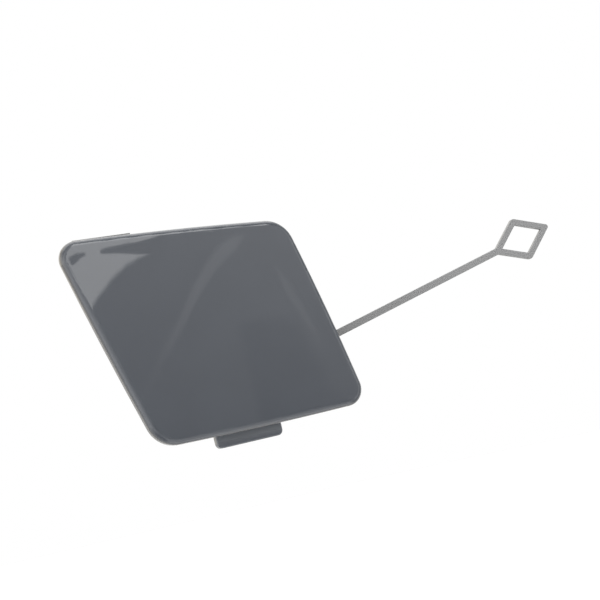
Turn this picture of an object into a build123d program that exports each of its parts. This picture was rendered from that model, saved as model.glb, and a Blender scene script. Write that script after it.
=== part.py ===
from build123d import *
from math import asin, cos, degrees, radians, sin, sqrt, tan
import os

os.makedirs("parts", exist_ok=True)

# Sizes in millimetres and degrees. X runs to the viewer's right, Z up and Y into the bumper.
# The origin is the middle of the face, on the plane where the rim meets the bumper.

# Outline of the face
face_width = 84.9
face_height = 73.9
left_lean = 16.5
right_lean = 13.7
top_fall = 2.0
bottom_rise = 1.0
side_bow = 0.5
broad_corner = 10.5
tight_corner = 6.4

# Section of the face: a crowned skin with a rim turned back round it
face_depth = 4.6
crown_radius_across = 1000.0
crown_radius_up = 1400.0
skin = 2.4
rim_thickness = 1.8
rim_edge_radius = 2.1

# Wall that drops into the bumper's opening
wall_inset = 4.5
wall_thickness = 1.6
wall_height = 8.0
wall_draft = 0.5
wall_corner = 4.0

# Ledge of the bumper that the rim, the tongue and the snap hook hold between them
ledge_thickness = 3.0
ledge_clearance = 0.2

# Tongue below the face
tongue_width = 25.8
tongue_offset = 4.5
tongue_reach = 4.6
tongue_thickness = 2.4
tongue_corner = 2.0
tongue_edge_radius = 0.6
gusset_thickness = 1.2
gusset_spacing = 16.0
gusset_edge_gap = 0.4

# Snap hook above the face
snap_width = 20.0
snap_offset = -33.5
snap_reach = 1.8
snap_thickness = 1.8
snap_height = 10.5
snap_shelf = 1.5
snap_shelf_width = 21.0
snap_shelf_left = 0.7
snap_shelf_gap = 0.6
snap_edge_radius = 0.4
snap_gusset = 1.2
snap_gusset_spacing = 8.4
snap_slot = 1.2
wall_gap_margin = 1.0

# Stiffening ribs behind the skin
rib_thickness = 1.2
rib_height = 2.0
rib_spacing = 26.0
rib_lean = 15.0

# Strap and the diamond loop at its end
strap_width = 2.7
strap_thickness = 1.6
strap_rise = 15.0
strap_root_z = -9.6
strap_length = 81.05
strap_root_flare = 2.0
loop_length = 30.5
loop_width = 18.2
loop_arm = 2.5
loop_side_corner = 2.0
loop_end_corner = 1.0
loop_neck_fillet = 1.5
strap_edge_radius = 0.3


def side_normals():
    """Outward direction of each side of the face and its distance from the middle."""
    half_width = face_width / 2
    half_height = face_height / 2
    left = (-cos(radians(left_lean)), -sin(radians(left_lean)), half_width * cos(radians(left_lean)))
    top = (sin(radians(top_fall)), cos(radians(top_fall)), half_height * cos(radians(top_fall)))
    right = (cos(radians(right_lean)), sin(radians(right_lean)), half_width * cos(radians(right_lean)))
    bottom = (sin(radians(bottom_rise)), -cos(radians(bottom_rise)), half_height * cos(radians(bottom_rise)))
    return {"left": left, "top": top, "right": right, "bottom": bottom}


def crossing(first, second, inset):
    """Point where two sides cross, each drawn in by the inset."""
    ax, az, a = first
    bx, bz, b = second
    spread = ax * bz - az * bx
    x = ((a - inset) * bz - (b - inset) * az) / spread
    z = ((b - inset) * ax - (a - inset) * bx) / spread
    return Vector(x, z)


def outline(inset, least_corner=0.0):
    """Face outline drawn in by the inset: four bowed sides and four rounded corners."""
    sides = side_normals()
    names = ["left", "top", "right", "bottom"]
    following = names[1:] + names[:1]
    corners = [crossing(sides[name], sides[after], inset) for name, after in zip(names, following)]
    arcs = []
    for name, start, end in zip(names, corners[-1:] + corners[:-1], corners):
        proud = Vector(sides[name][0], sides[name][1]) * side_bow
        arcs.append(ThreePointArc(start, (start + end) / 2 + proud, end))
    shape = make_face(Curve() + arcs)
    radii = [tight_corner, broad_corner, tight_corner, broad_corner]
    for corner, radius in zip(corners, radii):
        nearest = shape.vertices().sort_by_distance(corner)[0]
        shape = fillet(nearest, max(radius - inset, least_corner))
    return Plane.XZ * shape


def crowned_block(depth):
    """All that lies behind the crowned surface a given depth ahead of the seat."""
    shrink = face_depth - depth
    radius_up = crown_radius_up - shrink
    radius_across = crown_radius_across - shrink
    reach_up = face_height
    reach_across = face_width
    end = radius_up - sqrt(radius_up**2 - reach_up**2) - depth
    back = face_depth + snap_height
    arc = ThreePointArc((end, -reach_up), (-depth, 0), (end, reach_up))
    rest = Polyline((end, reach_up), (back, reach_up), (back, -reach_up), (end, -reach_up))
    profile = Plane.YZ * make_face(Curve() + [arc, rest])
    sweep = degrees(asin(reach_across / radius_across))
    axis = Axis((0, radius_across - depth, 0), (0, 0, 1))
    return revolve(profile.rotate(axis, -sweep), axis, 2 * sweep)


def side_section(name, offset, level=False):
    """Plane across a side at X = offset, square to it or level: its x points outwards, its y to the rear."""
    x, z, distance = side_normals()[name]
    outward = Vector(0, 0, 1) if level else Vector(x, 0, z)
    foot = Vector(offset, 0, (distance - x * offset) / z)
    return Plane(foot, x_dir=outward, z_dir=outward.cross(Vector(0, 1, 0)))


def drafted(inset, least_corner, towards):
    """Block from the seat to the wall's end, whose sides lean in (1) or out (-1) by the wall's draft."""
    lean = towards * wall_height * tan(radians(wall_draft))
    start = outline(inset, least_corner)
    end = Pos(0, wall_height, 0) * outline(inset + lean, least_corner)
    return loft([start.face(), end.face()], ruled=True)


def body_blank():
    """Crowned face block with a rounded front edge, and the drafted core that enters the bumper."""
    block = extrude(outline(0), face_depth) & crowned_block(face_depth)
    front = block.faces().sort_by(Axis.Y)[0]
    block = fillet(front.edges(), rim_edge_radius)
    return block + drafted(wall_inset, wall_corner, 1)


def ribs():
    """Two leaning ribs and one cross rib that stiffen the skin."""
    reach = face_width + face_height
    upright = Rectangle(rib_thickness, reach)
    cross = Rectangle(reach, rib_thickness)
    pattern = Sketch()
    for side in (-1, 1):
        pattern += Pos(side * rib_spacing / 2, 0) * upright.rotate(Axis.Z, rib_lean)
    pattern += cross
    sketch = Plane.XZ * pattern
    return extrude(sketch, face_depth) + extrude(sketch, -rib_height)


def finger_window():
    """Gap in the wall for the snap hook's finger, with a slot at each end so that it can bend."""
    place = side_section("top", snap_offset, level=True)
    across = wall_thickness + 2 * wall_gap_margin
    width = snap_width + 2 * snap_slot
    centre = place.origin - place.x_dir * (wall_inset + wall_thickness / 2)
    return Plane(centre, x_dir=(1, 0, 0), z_dir=(0, -1, 0)) * Rectangle(width, across)


def hollows():
    """Groove between rim and wall, pocket inside the wall and the finger's gap, all down to the skin."""
    floor = crowned_block(face_depth - skin)
    groove = outline(rim_thickness) - outline(wall_inset, wall_corner)
    inner_inset = wall_inset + wall_thickness
    inner_corner = wall_corner - wall_thickness
    inside = outline(inner_inset, inner_corner)
    pocket = (extrude(inside, face_depth) & floor) + drafted(inner_inset, inner_corner, -1)
    gap = (extrude(finger_window(), face_depth) & floor) + extrude(finger_window(), -wall_height)
    return (extrude(groove, face_depth) & floor) + (pocket - ribs()) + gap


def tongue():
    """Flat tongue that reaches behind the bumper below the face, with two gussets behind it."""
    front = ledge_thickness + ledge_clearance
    rear = front + tongue_thickness
    root = -wall_inset - wall_thickness / 2
    plane = side_section("bottom", tongue_offset)
    flat = Plane(plane.origin, x_dir=plane.x_dir, z_dir=Vector(0, 1, 0))
    plan = Pos((root + tongue_reach) / 2, 0) * Rectangle(tongue_reach - root, tongue_width)
    plan = fillet(plan.vertices().group_by(Axis.X)[-1], tongue_corner)
    bar = Pos(0, front, 0) * extrude(flat * plan, tongue_thickness)
    bar = fillet(bar.faces().sort_by(Axis.Y)[0].edges(), tongue_edge_radius)
    web_top = wall_height - gusset_edge_gap
    web_tip = tongue_reach - tongue_corner
    web = Polyline((root, rear), (web_tip, rear), (-wall_inset, web_top), (root, web_top), close=True)
    for side in (-1, 1):
        place = Pos(0, 0, side * gusset_spacing / 2)
        bar += extrude(plane * place * make_face(web), gusset_thickness / 2, both=True)
    return bar


def snap_hook():
    """Springy finger that stands on the skin, with a ribbed shelf that snaps behind the bumper's ledge."""
    catch = ledge_thickness + ledge_clearance
    shelf_rear = catch + snap_shelf
    inner = -wall_inset - snap_thickness
    shelf_start = -wall_inset + snap_shelf_gap
    gusset_tip = snap_reach - snap_shelf
    plane = side_section("top", snap_offset, level=True)
    finger_profile = Polyline((inner, -face_depth), (-wall_inset, -face_depth), (-wall_inset, snap_height),
                              (inner, snap_height), close=True)
    gusset_profile = Polyline((inner, catch), (gusset_tip, catch), (gusset_tip, shelf_rear),
                              (-wall_inset, snap_height), (inner, snap_height), close=True)
    hook = extrude(plane * make_face(finger_profile), snap_width / 2, both=True)
    for start, width, shift in ((inner, snap_width, 0), (shelf_start, snap_shelf_width, snap_shelf_left)):
        shelf = make_face(Polyline((start, catch), (snap_reach, catch), (snap_reach, shelf_rear),
                                   (start, shelf_rear), close=True))
        shelf = fillet(shelf.vertices().group_by(Axis.X)[-1], snap_edge_radius)
        hook += extrude(plane * Pos(0, 0, shift) * shelf, width / 2, both=True)
    for step in (-1, 0, 1):
        place = Pos(0, 0, step * snap_gusset_spacing)
        hook += extrude(plane * place * make_face(gusset_profile), snap_gusset / 2, both=True)
    return hook & crowned_block(face_depth - skin / 2)


def strap():
    """Flat strap from the right wall to its diamond loop, all in one plane behind the bumper's ledge."""
    x, z, distance = side_normals()["right"]
    edge = Vector((distance - z * strap_root_z) / x, ledge_thickness + ledge_clearance, strap_root_z)
    along = Vector(cos(radians(strap_rise)), 0, sin(radians(strap_rise)))
    root = -wall_inset - wall_thickness / 2
    half = strap_width / 2
    flare = half + strap_root_flare
    tip = strap_length + loop_arm
    bar = Pos((root + tip) / 2, 0) * Rectangle(tip - root, strap_width)
    foot = -wall_inset + side_bow
    bar += make_face(Polyline((root, -flare), (foot, -flare), (foot + strap_root_flare, -half),
                              (foot + strap_root_flare, half), (foot, flare), (root, flare), close=True))
    long = loop_length / 2
    wide = loop_width / 2
    middle = strap_length + long
    diamond = Polyline((-long, 0), (0, wide), (long, 0), (0, -wide), close=True)
    loop = Pos(middle, 0) * make_face(diamond)
    shape = bar + loop
    neck = strap_length + half * long / wide
    for spot, radius in (((neck, half), loop_neck_fillet), ((neck, -half), loop_neck_fillet),
                         ((middle, wide), loop_side_corner), ((middle, -wide), loop_side_corner),
                         ((middle + long, 0), loop_end_corner)):
        shape = fillet(shape.vertices().sort_by_distance(Vector(*spot))[0], radius)
    inner = 1 - loop_arm * sqrt(long**2 + wide**2) / (long * wide)
    shape -= Pos(middle, 0) * make_face(diamond.scale(inner))
    flat = Plane(edge, x_dir=along, z_dir=Vector(0, 1, 0))
    tether = extrude(flat * shape, strap_thickness)
    levels = tether.faces().sort_by(Axis.Y)
    return fillet(levels[0].edges() + levels[-1].edges(), strap_edge_radius)


cover = body_blank() - hollows() + snap_hook() + tongue() + strap()
export_step(cover, "parts/tow_hook_cover.step")
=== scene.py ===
from math import cos, radians, sin

import bpy
from mathutils import Matrix, Vector

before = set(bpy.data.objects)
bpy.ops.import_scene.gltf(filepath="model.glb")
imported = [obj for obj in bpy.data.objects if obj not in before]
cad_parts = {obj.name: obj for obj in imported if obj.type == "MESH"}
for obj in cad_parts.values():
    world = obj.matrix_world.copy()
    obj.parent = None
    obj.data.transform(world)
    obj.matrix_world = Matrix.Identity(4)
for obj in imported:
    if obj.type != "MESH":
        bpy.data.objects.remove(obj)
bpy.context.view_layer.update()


# Cover: one injection moulding in light grey plastic, with its tongue, snap hook, strap and loop.
# Gloss grey paint is sprayed on from the front. It covers the face and the rim. The rim's side is lighter and
# less blue, a painted reflection, and the tongue is lighter towards the rim, painted light against the rim's
# shade.
# The strap, the loop and the whole back stay bare plastic with a fine matt grain.

class Value:
    """Shader socket that takes part in plain expressions."""

    def __init__(self, recipe, socket):
        self.recipe = recipe
        self.socket = socket

    def math(self, operation, *others):
        return self.recipe.node("ShaderNodeMath", {"operation": operation}, dict(enumerate((self,) + others)))

    def __add__(self, other):
        return self.math("ADD", other)

    def __sub__(self, other):
        return self.math("SUBTRACT", other)

    def __mul__(self, other):
        return self.math("MULTIPLY", other)

    def __truediv__(self, other):
        return self.math("DIVIDE", other)

    def __rsub__(self, other):
        return self * -1 + other

    def __neg__(self):
        return self * -1

    __radd__ = __add__
    __rmul__ = __mul__

    def least(self, other):
        return self.math("MINIMUM", other)

    def most(self, other):
        return self.math("MAXIMUM", other)

    def size(self):
        return self.math("ABSOLUTE")

    def rise(self, start, full):
        """0 before start, 1 from full on and a smooth change between them."""
        return self.recipe.node("ShaderNodeMapRange", {"interpolation_type": "SMOOTHSTEP"},
                                {"Value": self, "From Min": start, "From Max": full})

    def between(self, low, high, edge):
        """1 from low to high, 0 outside, with ends that fade over an edge's width to each side."""
        return self.rise(low - edge, low + edge) * (1 - self.rise(high - edge, high + edge))


class Recipe:
    """Nodes of one material or of the studio's surroundings."""

    def __init__(self, owner):
        owner.use_nodes = True
        self.tree = owner.node_tree

    def node(self, kind, settings=None, values=None, output=0):
        made = self.tree.nodes.new(kind)
        for key, setting in (settings or {}).items():
            setattr(made, key, setting)
        self.feed(made, values or {})
        return Value(self, made.outputs[output])

    def feed(self, made, values):
        for key, value in values.items():
            if isinstance(value, Value):
                self.tree.links.new(value.socket, made.inputs[key])
            else:
                made.inputs[key].default_value = value

    def parts(self, vector):
        made = self.tree.nodes.new("ShaderNodeSeparateXYZ")
        self.tree.links.new(vector.socket, made.inputs[0])
        return [Value(self, socket) for socket in made.outputs]

    def mix(self, share, first, second):
        return self.node("ShaderNodeMix", {"data_type": "RGBA"}, {0: share, 6: first, 7: second}, 2)

    def noise(self, place, scale, detail):
        return self.node("ShaderNodeTexNoise", None, {"Vector": place, "Scale": scale, "Detail": detail})


def toned(colour, factor):
    """The colour made lighter or darker by the factor."""
    return tuple(channel * factor for channel in colour[:3]) + (1.0,)


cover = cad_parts["tow_hook_cover"]
finish = bpy.data.materials.new("painted_cover")
recipe = Recipe(finish)
place = recipe.node("ShaderNodeTexCoord", output="Object")
facing = recipe.node("ShaderNodeTexCoord", output="Normal")
x, y, z = recipe.parts(place)
facing_x, facing_y, facing_z = recipe.parts(facing)

# Reach of the spray, in metres from the middle of the face.
# Each pair says where a change starts and where it is complete.
turned_forward = (0.1, 0.3)
turned_outward = (0.0, 0.004)
rim_back = (0.0002, 0.0004)
# The rim's side gets less of the dark paint here: a painted reflection of the pale surroundings.
rim_side = (-0.0024, -0.0010)
rim_side_reflection_lift = 0.22
tongue_top = (0.030, 0.031)
tongue_right = (0.024, 0.025)
# The tongue's root, under the rim, gets less paint and so a lighter colour: painted light that lifts the
# rim's shade there.
tongue_root_lift = (0.037, 0.0415)
tongue_coat = 0.85
forward = (-facing_y).rise(*turned_forward)
reached = forward.most((facing_x * x + facing_z * z).rise(*turned_outward))
on_rim = 1 - y.rise(*rim_back)
on_tongue = (-z).rise(*tongue_top) * (1 - x.rise(*tongue_right)) * (1 - on_rim)
rim_coat_and_side_reflection = on_rim * (1 - y.rise(*rim_side) * rim_side_reflection_lift)
# Paint share, with the painted reflection on the rim's side and the painted light at the tongue's root in it.
coat_and_painted_light = reached * (rim_coat_and_side_reflection + on_tongue * (-z).rise(*tongue_root_lift) * tongue_coat)

# Paint, faintly clouded, lighter and less blue on the rim's side: a painted reflection of the pale
# surroundings that the side mirrors.
gloss_grey = (0.070, 0.076, 0.087, 1.0)
side_reflection_grey = (0.082, 0.081, 0.081, 1.0)
side_reflection_reach = (-0.0030, -0.0016)
cloud_scale = 60.0
cloud_detail = 3.0
cloud_range = (0.3, 0.7)
cloud_lift = 1.04
cloud = recipe.noise(place, cloud_scale, cloud_detail).rise(*cloud_range)
paint_colour = recipe.mix(cloud, gloss_grey, toned(gloss_grey, cloud_lift))
paint_colour = recipe.mix(y.rise(*side_reflection_reach) * on_rim, paint_colour, side_reflection_grey)

# Bare plastic, darker on the cover and the strap's root, a painted shade of the plate that fades out along
# the strap, with paint mist on the tongue's front.
light_plastic = (0.215, 0.216, 0.217, 1.0)
plate_shade_tone = 0.74
plate_shade_fade = (0.03, 0.12)
misted_plastic = (0.172, 0.185, 0.203, 1.0)
plastic_colour = recipe.mix(x.rise(*plate_shade_fade), toned(light_plastic, plate_shade_tone), light_plastic)
plastic_colour = recipe.mix(on_tongue * forward, plastic_colour, misted_plastic)

# Surface: the paint's shallow, wide waves and the plastic's fine grain, heights in metres.
paint_roughness = 0.02
plastic_roughness = 0.5
wave_scale = 420.0
wave_height = 0.0000006
grain_scale = 5200.0
grain_height = 0.0000004
relief_detail = 1.0
waves = recipe.noise(place, wave_scale, relief_detail) * wave_height
grain = recipe.noise(place, grain_scale, relief_detail) * grain_height
relief = grain + (waves - grain) * coat_and_painted_light
recipe.feed(finish.node_tree.nodes["Principled BSDF"], {
    "Base Color": recipe.mix(coat_and_painted_light, plastic_colour, paint_colour),
    "Roughness": plastic_roughness - coat_and_painted_light * (plastic_roughness - paint_roughness),
    "Normal": recipe.node("ShaderNodeBump", None, {"Height": relief, "Distance": 1.0})})
cover.data.materials.clear()
cover.data.materials.append(finish)


# Studio: soft light all round and bright panels that the gloss face mirrors, drawn by direction.
# Across and above are slopes to the right and upwards from straight in front of the face.
# Swing and tilt are the angles round to the right and up over the top, in radians.

world = bpy.data.worlds.new("studio")
bpy.context.scene.world = world
sky = Recipe(world)
east, north, up = sky.parts(sky.node("ShaderNodeTexCoord", output="Generated"))
least_ahead = 0.02
front_fade = (0.15, 0.35)
ahead = (-north).most(least_ahead)
across = east / ahead
above = up / ahead
swing = east.math("ARCTAN2", -north)
tilt = up.math("ARCTAN2", -north)
in_front = (-north).rise(*front_fade)


# Room: dark in front, lighter upwards and to the right, dark again above that, and lighter to the lower left.
# Its walls behind the cover and its ceiling are paler.

climb_rate = 2.7
climb_most = 0.8
climb_turn = 1.6
climb_least = -0.3
drift_rate = 0.93
drift_least = 0.1
drift_most = 0.6
room_base = -0.1
room_least = 0.05
low_left_start = 0.2
low_left_fade = (0.0, 0.5)
low_left_height = (-0.45, 0.2, 0.15)
low_left_light = 0.7
far_right_fade = (0.55, 0.9)
far_right_loss = 0.3
wall_light = 0.85
back_wall_fade = (0.0, 0.6)
back_wall_light = 0.25
overhead_fade = (0.3, 0.9)
overhead_light = 0.3
climb = above * climb_rate
room = climb.least(climb_most).least(climb_turn - climb).most(climb_least)
room = room + (across * drift_rate).most(drift_least).least(drift_most) + room_base
room = room + (low_left_start - across).rise(*low_left_fade) * up.between(*low_left_height) * low_left_light
room = (room - across.rise(*far_right_fade) * far_right_loss).most(room_least)
walls = wall_light + north.rise(*back_wall_fade) * back_wall_light + up.rise(*overhead_fade) * overhead_light
surroundings = walls + (room - walls) * in_front


# Streak: a dark bar in the window, with an upright left end, that opens to the right.
# Its foot falls a little, and its upper edge, the brow, climbs in a curve and then bends up and blurs.

streak_left = 0.239
least_beyond = 0.0001
streak_end = (0.2385, 0.2405)
streak_foot_height = 0.2448
streak_foot_fall = 0.105
streak_foot_edge = (-0.0012, 0.0012)
brow_height = 0.245
brow_curve = 0.25
brow_curve_gain = 0.0195
brow_slope = 0.008
brow_bend = 0.303
brow_bend_slope = 0.15
brow_edge = 0.0025
brow_blur_start = 0.27
brow_blur = 0.05
brow_fade = (-0.5, 1.0)
beyond = (across - streak_left).most(least_beyond)
brow = brow_height + beyond.math("POWER", brow_curve) * brow_curve_gain + beyond * brow_slope
brow = brow + (across - brow_bend).most(0.0) * brow_bend_slope
brow_softness = brow_edge + (across - brow_blur_start).most(0.0) * brow_blur
under_brow = 1 - ((above - brow) / brow_softness).rise(*brow_fade)
streak_foot = streak_foot_height - (across - streak_left) * streak_foot_fall
streak = across.rise(*streak_end) * (above - streak_foot).rise(*streak_foot_edge) * under_brow


# Wedge: a small dark shape in the window, left of the streak. Its foot climbs and its top levels out.
# The face's upper left corner mirrors it.

wedge_ends = (0.192, 0.218, 0.001)
wedge_edge = (-0.001, 0.001)
wedge_foot_height = 0.2352
wedge_foot_start = 0.1965
wedge_foot_slope = 0.484
wedge_top_height = 0.2462
wedge_top_start = 0.193
wedge_top_slope = 0.3
wedge_top_most = 0.2496
wedge_foot = wedge_foot_height + (across - wedge_foot_start) * wedge_foot_slope
wedge_top = (wedge_top_height + (across - wedge_top_start) * wedge_top_slope).least(wedge_top_most)
wedge = across.between(*wedge_ends) * (above - wedge_foot).rise(*wedge_edge)
wedge = wedge * (wedge_top - above).rise(*wedge_edge)


# Window: the bright panel that the face's upper left mirrors, with the wedge and the streak cut out of it.
# Its sill is straight left of a bend and curves up past it, and above the brow it runs on to the right.

sill_bend = 0.2093
sill_height = 0.1724
sill_slope = 0.28
sill_curve = 0.64
sill_curve_gain = 0.30
sill_cap = 0.2039
sill_cap_slope = 0.314
sill_edge = (-0.005, 0.005)
window_left = (-0.31, -0.11)
window_right = (0.306, 0.322)
window_top = 0.35
window_top_bend = 0.2
window_top_slope = 0.6
window_top_fade = (0.0, 0.15)
window_light = 3.0
window_dim_fade = (0.33, 0.45)
window_dim_loss = 2.0
past_bend = (across - sill_bend).most(0.0)
sill = sill_height + past_bend.math("POWER", sill_curve) * sill_curve_gain
sill = sill.least(sill_cap + past_bend * sill_cap_slope) + (across - sill_bend).least(0.0) * sill_slope
top = window_top + (across - window_top_bend).least(0.0) * window_top_slope
window = (above - sill).rise(*sill_edge) * (1 - (above - top).rise(*window_top_fade))
window = window * across.rise(*window_left) * (1 - across.rise(*window_right) * under_brow)
window = window * (1 - streak) * (1 - wedge) * in_front
window = window * (window_light - east.rise(*window_dim_fade) * window_dim_loss)


# Lamps: a row above the window that the top's rounded edge mirrors, brightest to the right of the middle.
# Its upper end comes down to the right.

lamp_foot = (0.27, 0.42)
lamp_head = (0.7, 0.9)
lamp_head_bend = 0.34
lamp_head_fall = 1.2
left_lamps = (-0.8, -0.6)
left_lamp_light = 0.9
middle_lamps = (0.01, 0.15)
middle_lamp_light = 4.4
right_lamps = (0.38, 0.48)
right_lamp_loss = 1.6
lamp_end = (0.5, 0.6)
lamp_height = tilt + (east - lamp_head_bend).most(0.0) * lamp_head_fall
lamp_light = east.rise(*left_lamps) * left_lamp_light + east.rise(*middle_lamps) * middle_lamp_light
lamp_light = (lamp_light - east.rise(*right_lamps) * right_lamp_loss) * (1 - east.rise(*lamp_end))
lamps = tilt.rise(*lamp_foot) * (1 - lamp_height.rise(*lamp_head)) * lamp_light


# Large soft panels: one overhead, a light wall to the left and a light card below.
# A strip and a dark gap beside it to the right give the rim's right side its lines.

ceiling_tilt = (1.05, 2.2, 0.2)
ceiling_width = (-0.6, 0.6, 0.1)
ceiling_light = 1.7
left_wall_near = (0.0, 1.1)
left_wall_far = (1.5, 2.6)
left_wall_far_loss = 0.6
left_wall_height = (-0.45, 0.5, 0.2)
left_wall_light = 1.7
below_near = (0.05, 0.9)
below_far = (2.2, 2.8)
below_width = (-0.2, 0.6, 0.1)
below_light = 1.55
strip_swing = (0.67, 1.0, 0.06)
strip_height = (-0.4, 0.5, 0.1)
strip_light = 1.5
gap_swing = (0.95, 1.4, 0.06)
gap_height = (-0.4, 0.4, 0.1)
gap_loss = 0.3
ceiling = tilt.between(*ceiling_tilt) * east.between(*ceiling_width) * ceiling_light
left_wall = (-swing).rise(*left_wall_near) * (1 - (-swing).rise(*left_wall_far) * left_wall_far_loss)
left_wall = left_wall * up.between(*left_wall_height) * left_wall_light
below = (-tilt).rise(*below_near) * (1 - (-tilt).rise(*below_far)) * east.between(*below_width) * below_light
right_strip = swing.between(*strip_swing) * up.between(*strip_height) * strip_light
right_gap = 1 - swing.between(*gap_swing) * up.between(*gap_height) * gap_loss


# Faint marks that the face mirrors: a band of light that slants up to the right and bends over at its top,
# a thin leaning line of light near the right side, and a slightly darker patch below and left of that line.

band_start = 0.3825
band_height = 0.1868
band_slope = 0.98
band_bend_end = 0.075
band_bend = 4.0
band_half_width = 0.004
band_widening = 0.03
band_edge = (-0.006, 0.006)
band_foot = (0.03, 0.2)
band_head = (0.243, 0.255)
band_light = 0.52
line_lean = 0.5
line_across = (0.614, 0.628, 0.006)
line_height = (0.1, 0.2, 0.02)
line_light = 0.3
patch_left = (0.42, 0.44)
patch_right = (0.579, 0.609)
patch_top = (0.127, 0.137)
patch_loss = 0.2
run = across - band_start
bent = run.most(0.0).least(band_bend_end)
band_line = band_height + run * band_slope - bent * bent * band_bend
off_band = (above - band_line).size() - above * band_widening - band_half_width
band = (1 - off_band.rise(*band_edge)) * above.rise(*band_foot) * (1 - above.rise(*band_head)) * band_light
leaning = across + above * line_lean
light_line = leaning.between(*line_across) * above.between(*line_height) * line_light
dark_patch = across.rise(*patch_left) * (1 - leaning.rise(*patch_right))
dark_patch = dark_patch * (1 - above.rise(*patch_top)) * patch_loss


# All the light together, a little warmer behind and most of all to the left.
# The camera itself sees plain white.

warm_back = (0.0, 0.5)
warm_left = (0.0, 0.5)
warm_right_share = 0.1
warm_red = 0.07
warm_blue = -0.16
plain_white = (1.0, 1.0, 1.0, 1.0)
level = surroundings + window.most(lamps) + ceiling + left_wall + below
level = level + (band + light_line - dark_patch) * in_front
level = level.most(0.0) * right_gap + right_strip
warm = north.rise(*warm_back) * (warm_right_share + (-east).rise(*warm_left) * (1 - warm_right_share))
glow = sky.node("ShaderNodeCombineColor", None,
                {0: level * (1 + warm * warm_red), 1: level, 2: level * (1 + warm * warm_blue)})
camera_ray = sky.node("ShaderNodeLightPath", output="Is Camera Ray")
sky.feed(world.node_tree.nodes["Background"],
         {"Color": sky.mix(camera_ray, glow, plain_white), "Strength": 1.0})


# Floor: a pale card below the cover and behind it, which throws soft light up at its back.
# The camera sees it as white as the surroundings.

floor_width = 8.0
floor_middle = (0.0, 4.0, -0.14)
card_grey = (0.65, 0.65, 0.65, 1.0)
card_roughness = 0.8
card_glow = 0.6
no_glow = (0.0, 0.0, 0.0, 1.0)
bpy.ops.object.select_all(action="DESELECT")
bpy.ops.mesh.primitive_plane_add(size=floor_width, location=floor_middle)
floor = bpy.context.object
floor.name = "floor"
bpy.ops.object.transform_apply(location=True, rotation=True, scale=True)
pale = bpy.data.materials.new("pale_floor")
card = Recipe(pale)
camera_ray = card.node("ShaderNodeLightPath", output="Is Camera Ray")
card.feed(pale.node_tree.nodes["Principled BSDF"], {
    "Base Color": card_grey, "Roughness": card_roughness, "Emission Strength": card_glow,
    "Emission Color": card.mix(camera_ray, no_glow, plain_white)})
floor.data.materials.append(pale)


# Camera: it looks at the cover from the left and a little from below, and it is rolled.
# Angles are in degrees, lengths in metres and the lens and film in millimetres.

azimuth = -25.24
elevation = -7.27
roll = 13.03
aim = Vector((0.03417, 0.0, 0.00541))
distance = 0.51615
focal_length = 84.27
film_width = 36.0
nearest = 0.01
lens = bpy.data.cameras.new("picture")
lens.lens = focal_length
lens.sensor_width = film_width
lens.clip_start = nearest
camera = bpy.data.objects.new("picture", lens)
bpy.context.scene.collection.objects.link(camera)
towards = Vector((sin(radians(azimuth)) * cos(radians(elevation)),
                  -cos(radians(azimuth)) * cos(radians(elevation)), sin(radians(elevation))))
turn = towards.to_track_quat("Z", "Y").to_matrix().to_4x4() @ Matrix.Rotation(radians(-roll), 4, "Z")
camera.matrix_world = Matrix.Translation(aim + towards * distance) @ turn
bpy.context.scene.camera = camera
bpy.context.scene.view_settings.view_transform = "Standard"
